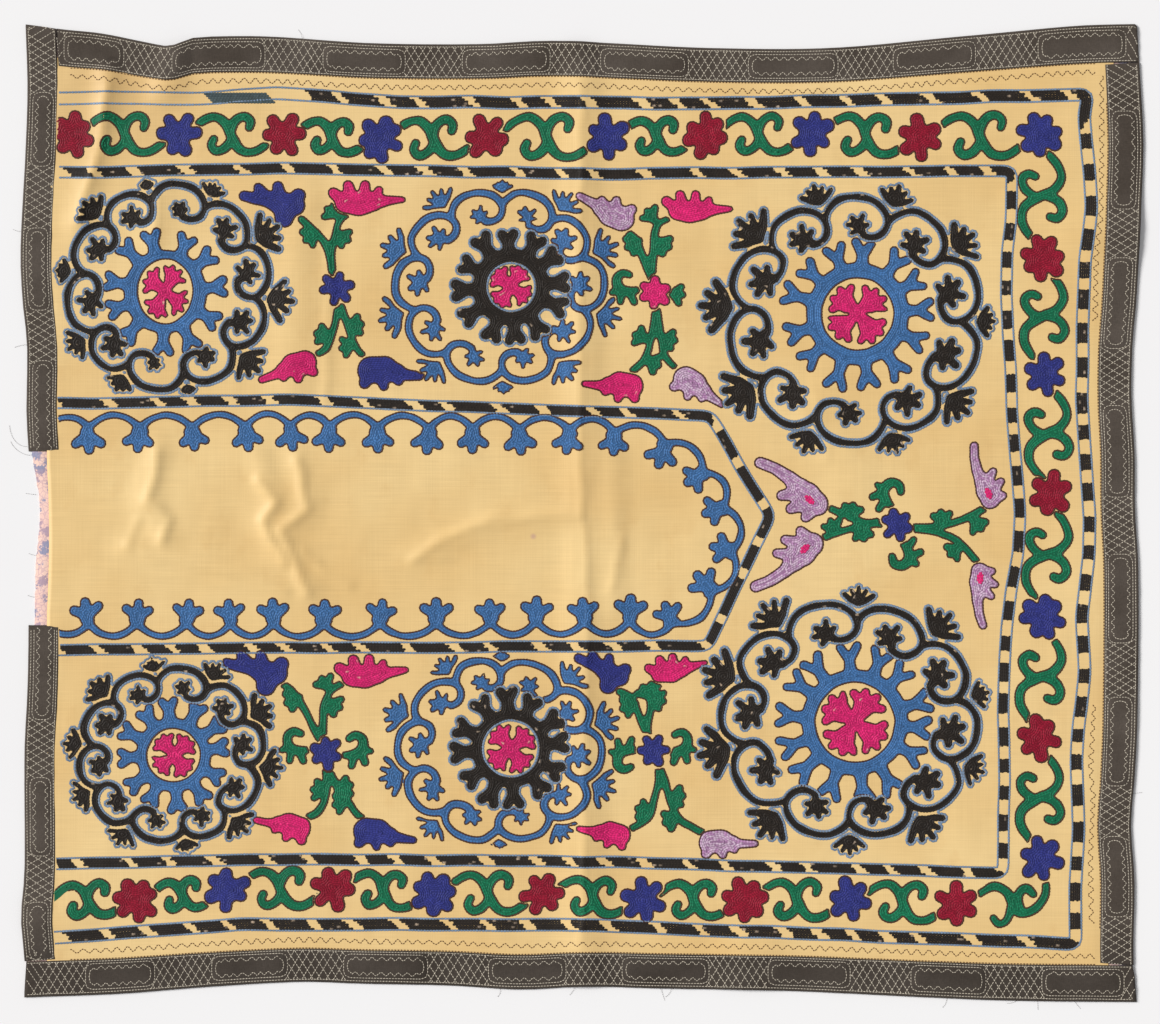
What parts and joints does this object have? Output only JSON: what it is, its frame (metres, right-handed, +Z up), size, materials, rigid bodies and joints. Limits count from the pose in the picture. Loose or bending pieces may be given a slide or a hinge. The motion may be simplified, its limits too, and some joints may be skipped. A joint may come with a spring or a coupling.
{
  "type": "suzani embroidered textile",
  "caption": "Rectangular niche-pattern silk panel, lined with printed cotton and edged in dark quilted binding; a flat textile to lay out or to hang.",
  "frame": {"origin": "under the middle of the cloth, at the height of the surface it lies on", "axes": "+X runs the long way, from the open end of the niche towards its point; +Y runs across; +Z points up out of the embroidered face"},
  "size_m": [1.2019, 1.047, 0.0086],
  "materials": {
    "printed_cotton": "matt printed cotton",
    "gold_silk": "soft satin sheen",
    "dark_cotton": "matt worn cotton",
    "red_thread": "silky chain stitch",
    "indigo_thread": "silky chain stitch",
    "blue_thread": "silky chain stitch",
    "pink_thread": "silky chain stitch",
    "lilac_thread": "silky chain stitch",
    "green_thread": "silky chain stitch",
    "black_thread": "worn chain stitch",
    "brown_thread": "thin chain stitch",
    "pale_blue_thread": "thin chain stitch",
    "cream_thread": "machine sewing thread"
  },
  "bodies": {
    "root": {"lining_panel": "printed_cotton", "face_panel": "gold_silk", "binding_top": "dark_cotton", "binding_bottom": "dark_cotton", "binding_right": "dark_cotton", "binding_left_upper": "dark_cotton", "binding_left_lower": "dark_cotton"}
  },
  "joints": []
}
